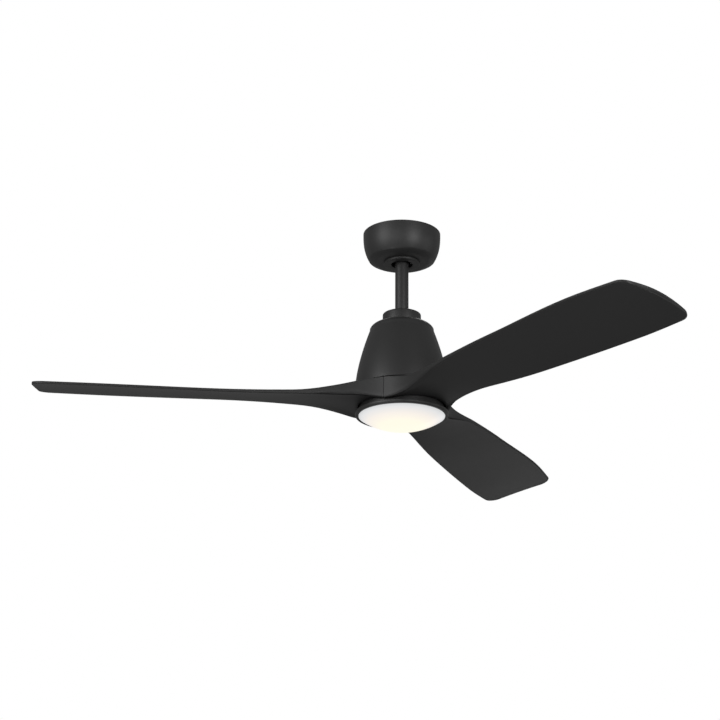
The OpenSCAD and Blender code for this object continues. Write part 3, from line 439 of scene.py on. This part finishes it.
def make_lens():
    """A shallow dome with an upright rim and three lugs that twist into the trim ring."""
    bottom, top = low("lens")[2], high("lens")[2]
    rim_z = low("trim_ring")[2]
    wall, steps = 2 * MM, 24
    dome = rim_z - bottom
    sphere_r = (LENS_R ** 2 + dome ** 2) / (2 * dome)
    centre_z = bottom + sphere_r

    def arc(radius, edge_r):
        """From the pole out to the radius edge_r."""
        angles = [math.asin(edge_r / radius) * i / steps for i in range(steps + 1)]
        return [(radius * math.sin(angle), centre_z - radius * math.cos(angle)) for angle in angles]

    outer, inner = arc(sphere_r, LENS_R), arc(sphere_r - wall, LENS_R - wall)
    bm = bmesh.new()
    points = outer + [(LENS_R, top), (LENS_R - wall, top)] + inner[::-1]
    verts = [bm.verts.new((r, 0, z)) for r, z in points]
    for a, b in zip(verts, verts[1:]):
        bm.edges.new((a, b))
    spin_round(bm)
    lug_out, lug_sink, lug_bottom, lug_top = 2.4 * MM, 0.5 * MM, 2.7 * MM, 4.2 * MM
    for azimuth in LUG_AZIMUTHS:
        add_ring_arc(bm, LENS_R + lug_out, LENS_R - lug_sink, rim_z + lug_bottom, rim_z + lug_top,
                     math.radians(azimuth), LUG_SWEEP)
    finish_piece("lens_dome", bm, "lens", "opal", OPAL, replaces=["lens"], smooth_angle=40)


def add_ring_arc(bm, outer, inner, bottom, top, middle, sweep, steps=8):
    """A solid arc of a ring, centred on the angle middle."""
    corners = [(outer, bottom), (outer, top), (inner, top), (inner, bottom)]
    verts = [bm.verts.new((r, 0, z)) for r, z in corners]
    face = bm.faces.new(verts)
    bmesh.ops.rotate(bm, verts=verts, cent=(0, 0, 0), matrix=Matrix.Rotation(middle - sweep / 2, 3, "Z"))
    before = set(bm.edges) - set(face.edges)
    bmesh.ops.spin(bm, geom=verts + face.edges[:] + [face], cent=(0, 0, 0), axis=(0, 0, 1), dvec=(0, 0, 0),
                   angle=sweep, steps=steps, use_duplicate=False)
    crease = bm.edges.layers.float.get("crease_edge") or bm.edges.layers.float.new("crease_edge")
    for edge in set(bm.edges) - before:
        edge[crease] = 1


# ------------------------------------------------------------------ blades
# A blade lies along X. s is the distance out along it, t the distance across it, and v the share of its
# half width, from 1 on the trailing edge to -1 on the leading edge
TIP_R = 711 * MM
COLLAR_TOP = high("blade_1")[2]
COLLAR_BOTTOM = low("blade_1")[2]
AXIS_Z = COLLAR_TOP - 23 * MM
ROOT_END = 215 * MM
BLADE_PITCH = math.radians(12)
PITCH_START, PITCH_LENGTH, PITCH_POWER = 90 * MM, 270 * MM, 2.1
EDGE_T = 5 * MM
MIDDLE_T = 9 * MM
CAMBER, CAMBER_LENGTH = 4 * MM, 150 * MM
ROOT_T, ROOT_T_START, ROOT_T_LENGTH, ROOT_T_POWER = 4.5 * MM, 150 * MM, 260 * MM, 1.5
RIM_RISE = 7 * MM
EDGE_ROUND = 2.4 * MM
TIP_CORNER = 24 * MM
TIP_LENGTH, TIP_SLANT, TIP_BOW = 130 * MM, 3.5 * MM, 3 * MM
LEAD_ROOT, LEAD_WIDE, LEAD_TIP = 69.5 * MM, 84.5 * MM, 74.5 * MM
TRAIL_ROOT, TRAIL_WIDE, TRAIL_TIP = 52.5 * MM, 80 * MM, 77 * MM
TIP_IN = TIP_R - math.sqrt(TIP_R ** 2 - TRAIL_TIP ** 2)
HALF_SEAM = math.asin(0.4 * MM / COLLAR_R)
HALF_ROOT = math.radians(60) - HALF_SEAM
FLANGE_IN = 4.5 * MM


def along(share):
    """The distance out at a share of the way from the collar to the tip."""
    return COLLAR_R + (TIP_R - COLLAR_R) * share


# Half widths of the blade, as (s, half width) points on a smooth curve
LEAD_EDGE = [(COLLAR_R, LEAD_ROOT), (along(0.15), LEAD_ROOT),
             (along(0.43), (LEAD_ROOT + LEAD_WIDE) / 2), (along(0.75), LEAD_WIDE), (TIP_R, LEAD_TIP)]
TRAIL_EDGE = [(COLLAR_R, TRAIL_ROOT), (along(0.06), TRAIL_ROOT),
              (along(0.37), (TRAIL_ROOT + TRAIL_WIDE) / 2 + 1.5 * MM), (along(0.8), TRAIL_WIDE),
              (TIP_R, TRAIL_TIP)]


def hermite(a, b, slope_a, slope_b, k):
    """From a to b as k goes from 0 to 1, leaving and arriving at the given slopes."""
    return (a * (1 + 2 * k) * (1 - k) ** 2 + slope_a * k * (1 - k) ** 2
            + b * k * k * (3 - 2 * k) - slope_b * k * k * (1 - k))


def curve(points, x):
    """The smooth curve through a few (place, value) points."""
    i = max([j for j in range(len(points) - 1) if x > points[j][0]], default=0)
    a, b = points[max(0, i - 1)], points[i]
    c, d = points[i + 1], points[min(len(points) - 1, i + 2)]
    width = c[0] - b[0]
    k = min(1, max(0, (x - b[0]) / width))
    slope_b = (c[1] - a[1]) / (c[0] - a[0]) * width
    slope_c = (d[1] - b[1]) / (d[0] - b[0]) * width
    return hermite(b[1], c[1], slope_b, slope_c, k)


def fade(x, power):
    """From 1 at x = 0 down to 0 at x = 1."""
    return max(0.0, 1 - max(0.0, x)) ** power


def corner_in(s):
    """How far the tip's rounded corners draw the edges in."""
    x = max(0.0, s - (TIP_R - TIP_IN - TIP_CORNER))
    return TIP_CORNER - math.sqrt(max(0.0, TIP_CORNER ** 2 - x * x))


def middle_z(s, t, v):
    """The height of the blade's middle surface, from its pitch and its camber."""
    pitch = BLADE_PITCH * (1 - fade((s - PITCH_START) / PITCH_LENGTH, PITCH_POWER))
    camber = CAMBER * (1 - v * v) * min(1, max(0, s - COLLAR_R) / CAMBER_LENGTH)
    return AXIS_Z - t * math.tan(pitch) + camber


def half_thickness(v):
    """Thickest in the middle of the blade and thinnest at its edges."""
    return EDGE_T / 2 + (MIDDLE_T - EDGE_T) / 2 * (1 - v * v)


def root_extra(s):
    """What the thick root adds on its upper side."""
    return ROOT_T * fade((s - ROOT_T_START) / ROOT_T_LENGTH, ROOT_T_POWER)


# The places of v across the flat sides, between the rounded corners
ACROSS = [0.96, 0.91, 0.82, 0.68, 0.48, 0.24, 0, -0.24, -0.48, -0.68, -0.82, -0.91, -0.96]
QUARTER = [0, 22.5, 45, 67.5, 90]
# The ring round the blade. Each entry is (v, up, turn): up is 1 on the upper side and -1 on the lower,
# and turn is the angle round a rounded corner, from the blunt edge (0) to the wide side (90)
RING = ([(1, 1, turn) for turn in QUARTER] + [(v, 1, None) for v in ACROSS]
        + [(-1, 1, turn) for turn in reversed(QUARTER)] + [(-1, 0, None)]
        + [(-1, -1, turn) for turn in QUARTER] + [(v, -1, None) for v in reversed(ACROSS)]
        + [(1, -1, turn) for turn in reversed(QUARTER)] + [(1, 0, None)])


def rounded(place, v, up, turn, radius, inward=None):
    """A point of the ring, with the corners of the section rounded."""
    corner = place(v, up)
    if turn is None:
        return corner
    upright = place(v, 0) - corner
    across = inward if inward else place(v * 0.9, up) - corner
    radius = min(radius, 0.92 * upright.length)
    angle = math.radians(turn)
    return (corner + upright.normalized() * radius * (1 - math.sin(angle))
            + across.normalized() * radius * (1 - math.cos(angle)))


def section_point(v, up, s, scale=1.0):
    """A point of the blade's section at s. scale thins it."""
    edge = curve(LEAD_EDGE if v < 0 else TRAIL_EDGE, s) - corner_in(s)
    t = v * edge
    lean = max(0.0, (s - TIP_R + TIP_LENGTH) / TIP_LENGTH) ** 2
    x = s + lean * (TIP_SLANT * v - TIP_BOW * v * v)
    extra = (1 + up) / 2 * root_extra(s)
    return Vector((x, t, middle_z(s, t, v) + up * scale * half_thickness(v) + extra))


def rim_z(v):
    """The collar's lower rim: lowest at the seams, and higher between them."""
    return COLLAR_BOTTOM + RIM_RISE * (1 - (abs(v) ** 1.5 if v < 0 else v ** 6))


def upper_share(k, v):
    """How much of the collar's upper edge is left at k, the share of the way to the end of the root."""
    w, left = (1 + v) / 2, 1 - k
    return (1 - w) * (1 - k ** 1.5) ** 4 + w * left * left * (3 - 2 * left)


def lower_share(k, v):
    """The rim's level runs straight on from the seam, so the leading edge stays deep for longer."""
    w = max(0.0, min(1.0, (-v - 0.4) / 0.4))
    return (1 - w) * (1 - k) ** 2.1 + w * (1 - k ** 2.2) ** 3.5


def root_point(v, up, k):
    """A point of the root, which flows from the collar (k = 0) into the blade (k = 1)."""
    theta, step = v * HALF_ROOT, 2 * MM
    start = Vector((COLLAR_R * math.cos(theta), COLLAR_R * math.sin(theta)))
    join = section_point(v, up, ROOT_END).xy
    after = section_point(v, up, ROOT_END + step).xy
    pull = (join - start).length
    leave = Vector((math.cos(theta / 2), -math.sin(theta / 2))) * pull
    arrive = (after - join) / step * pull
    plan = Vector((hermite(start.x, join.x, leave.x, arrive.x, k),
                   hermite(start.y, join.y, leave.y, arrive.y, k)))
    half = half_thickness(v)
    start_mid, mid = middle_z(start.x, start.y, v), middle_z(plan.x, plan.y, v)
    start_top = start_mid + half + root_extra(start.x)
    top = mid + half + root_extra(plan.x) + (COLLAR_TOP - start_top) * upper_share(k, v)
    bottom = mid - half - (start_mid - half - rim_z(v)) * lower_share(k, v)
    return Vector((plan.x, plan.y, (top + bottom) / 2 + up * (top - bottom) / 2))


def inner_point(v, up, radius):
    """A point of the collar's flange, at a radius inside the collar's face."""
    theta = v * HALF_ROOT
    height = (COLLAR_TOP + rim_z(v)) / 2 + up * (COLLAR_TOP - rim_z(v)) / 2
    return Vector((radius * math.cos(theta), radius * math.sin(theta), height))


def add_ring(bm, place, lower_r=EDGE_ROUND, blend=1.0):
    """A closed ring of vertices. blend goes from 0 on the collar, where a lower corner rounds towards the
    axis and an upper one is crisp, to 1 on the blade."""
    made = bmesh.ops.create_circle(bm, segments=len(RING), radius=1)["verts"]
    for vert, (v, up, turn) in zip(made, RING):
        inward = None
        if turn is not None and up < 0 and blend < 1:
            corner = place(v, up)
            to_axis = Vector((-corner.x, -corner.y, 0)).normalized()
            inward = to_axis.lerp((place(v * 0.9, up) - corner).normalized(), blend)
        upper_r = (0.5 + 1.1 * min(1, blend * 4)) * MM
        vert.co = rounded(place, v, up, turn, lower_r if up < 0 else upper_r, inward)
    return made


def ring_edges(ring):
    """The edges that run between a ring's own vertices."""
    members = set(ring)
    touching = {edge for vert in ring for edge in vert.link_edges}
    return [edge for edge in touching if set(edge.verts) <= members]


def close_inner_wall(bm, ring):
    """The wall's curved inner face, from its upper edge to its lower one, and its two narrow ends."""
    half = len(ring) // 2
    chains = [ring_edges(ring[:half - 1]), ring_edges(ring[half:-1])]
    bmesh.ops.bridge_loops(bm, edges=chains[0] + chains[1])
    narrow_end_sides = 4
    bmesh.ops.holes_fill(bm, edges=bm.edges, sides=narrow_end_sides)


def blade_rings(bm):
    """Every ring of a blade, from inside the collar to the tip."""
    root_steps, mid_steps, corner_steps = 14, 16, 6
    root_bulge, root_soft, bulge_end, crowding = 10 * MM, 1.4 * MM, 0.85, 1.25
    start_corner = TIP_R - TIP_IN - TIP_CORNER
    corner_share, tip_thinning = 0.985, 0.7
    rings = [add_ring(bm, lambda v, up: inner_point(v, up, COLLAR_R - FLANGE_IN), 0.4 * MM, 0)]
    rings.append(add_ring(bm, lambda v, up: inner_point(v, up, COLLAR_R - 0.5 * MM), 2 * MM, 0))
    for i in range(root_steps + 1):
        k = (i / root_steps) ** crowding
        bulge = root_bulge * math.sin(math.pi * min(1, k / bulge_end)) ** 2
        radius = EDGE_ROUND + root_soft * (1 - k) + bulge
        rings.append(add_ring(bm, lambda v, up: root_point(v, up, k), radius, min(1, 2.5 * k)))
    for i in range(1, mid_steps + 1):
        s = ROOT_END + (start_corner - ROOT_END) * i / mid_steps
        rings.append(add_ring(bm, lambda v, up: section_point(v, up, s)))
    for i in range(1, corner_steps + 1):
        s = start_corner + TIP_CORNER * math.sin(math.radians(90 * i / corner_steps)) * corner_share
        rings.append(add_ring(bm, lambda v, up: section_point(v, up, s)))
    rings.append(add_ring(bm, lambda v, up: section_point(v, up, TIP_R - TIP_IN, tip_thinning)))
    return rings


def make_blade(number, azimuth):
    """A blade with its third of the collar and the web that the hub's screws hold."""
    bm = bmesh.new()
    rings = blade_rings(bm)
    edges = [ring_edges(ring) for ring in rings]
    for a, b in zip(edges, edges[1:]):
        bmesh.ops.bridge_loops(bm, edges=a + b)
    bmesh.ops.edgeloop_fill(bm, edges=edges[-1])
    close_inner_wall(bm, rings[0])
    turn = Matrix.Rotation(math.radians(azimuth), 3, "Z")
    bmesh.ops.rotate(bm, verts=bm.verts, cent=(0, 0, 0), matrix=turn)
    web_top, web_t, web_in = COLLAR_TOP - 2.3 * MM, 6 * MM, 30 * MM
    add_ring_arc(bm, COLLAR_R - 3 * MM, web_in, web_top - web_t, web_top, math.radians(azimuth),
                 math.radians(119), steps=24)
    finish_piece(f"blade_{number}_moulding", bm, "rotor", "black_blade", BLACK_BLADE,
                 replaces=[f"blade_{number}"], smooth_angle=60, subdivide=1)


# ------------------------------------------------------------------ stage, light and camera
def make_stage():
    """A pale floor, low enough to look up at the fan from straight below."""
    half_side, depth = 18, 7
    bm = bmesh.new()
    bmesh.ops.create_grid(bm, x_segments=1, y_segments=1, size=half_side)
    bmesh.ops.translate(bm, verts=bm.verts, vec=(0, 0, -depth))
    mesh = bpy.data.meshes.new("floor")
    bm.to_mesh(mesh)
    bm.free()
    floor = bpy.data.objects.new("floor", mesh)
    mesh.materials.append(stage_material("pale_floor", 0.7))
    bpy.context.scene.collection.objects.link(floor)


def add_area(name, place, size, power):
    """A round soft light that shines on the fan."""
    light = bpy.data.lights.new(name, "AREA")
    light.shape = "DISK"
    light.size = size
    light.energy = power
    lamp = bpy.data.objects.new(name, light)
    lamp.location = place
    lamp.rotation_mode = "QUATERNION"
    lamp.rotation_quaternion = (LIGHT_TARGET - Vector(place)).to_track_quat("-Z", "Y")
    bpy.context.scene.collection.objects.link(lamp)
    lamp.visible_camera = False


def make_world():
    """White to the camera, and a softer even light on the object."""
    world = bpy.data.worlds.new("studio")
    bpy.context.scene.world = world
    world.use_nodes = True
    tree = world.node_tree
    tree.nodes.clear()
    end = tree.nodes.new("ShaderNodeOutputWorld")
    mixed = tree.nodes.new("ShaderNodeMixShader")
    seen, soft = (tree.nodes.new("ShaderNodeBackground") for _ in range(2))
    seen.inputs["Strength"].default_value = 1.0
    seen.inputs["Color"].default_value = WHITE
    soft.inputs["Strength"].default_value = AMBIENT
    soft.inputs["Color"].default_value = WHITE
    path = tree.nodes.new("ShaderNodeLightPath")
    tree.links.new(path.outputs["Is Camera Ray"], mixed.inputs["Fac"])
    tree.links.new(soft.outputs["Background"], mixed.inputs[1])
    tree.links.new(seen.outputs["Background"], mixed.inputs[2])
    tree.links.new(mixed.outputs["Shader"], end.inputs["Surface"])


def make_camera():
    """Below the fan and a little to one side, looking up at it."""
    distance, height, azimuth, tilt = 3.4139, -1.4798, math.radians(-7.44), math.radians(19.556)
    data = bpy.data.cameras.new("camera")
    data.sensor_width = 36
    data.lens = 92.08
    data.shift_x = -0.0581
    camera = bpy.data.objects.new("camera", data)
    camera.location = (distance * math.sin(azimuth), -distance * math.cos(azimuth), height)
    camera.rotation_euler = (math.radians(90) + tilt, 0, azimuth)
    bpy.context.scene.collection.objects.link(camera)
    bpy.context.scene.camera = camera


AMBIENT = 0.26
LIGHT_TARGET = Vector((0, 0, -0.3))
# Each light: its name, its place, its width in metres and its power in watts
LIGHTS = [
    ("key", (-2.7, -1.5, 0.2), 1.7, 36),
    ("front", (1.4, -2.7, -0.2), 1.3, 34),
    ("front_left", (-1.2, -2.8, -0.3), 1.3, 10),
    ("side", (2.8, -0.8, -0.3), 1.3, 6),
    ("low", (-1.2, -0.8, -2.2), 1.3, 10),
    ("behind", (1.3, 2.5, -1.2), 0.9, 1.3),
    ("back", (0.6, 2.6, 1.9), 1.6, 14),
]

make_camera()
finish_nodes()
make_canopy()
make_canopy_ring()
make_downrod()
make_coupling_cover()
make_housing()
for number, azimuth in ((1, 60), (2, 180), (3, 300)):
    make_blade(number, azimuth)
make_trim_ring()
make_lens()
make_stage()
make_world()
for name, place, size, power in LIGHTS:
    add_area(name, place, size, power)
bpy.context.scene.view_settings.view_transform = "Standard"
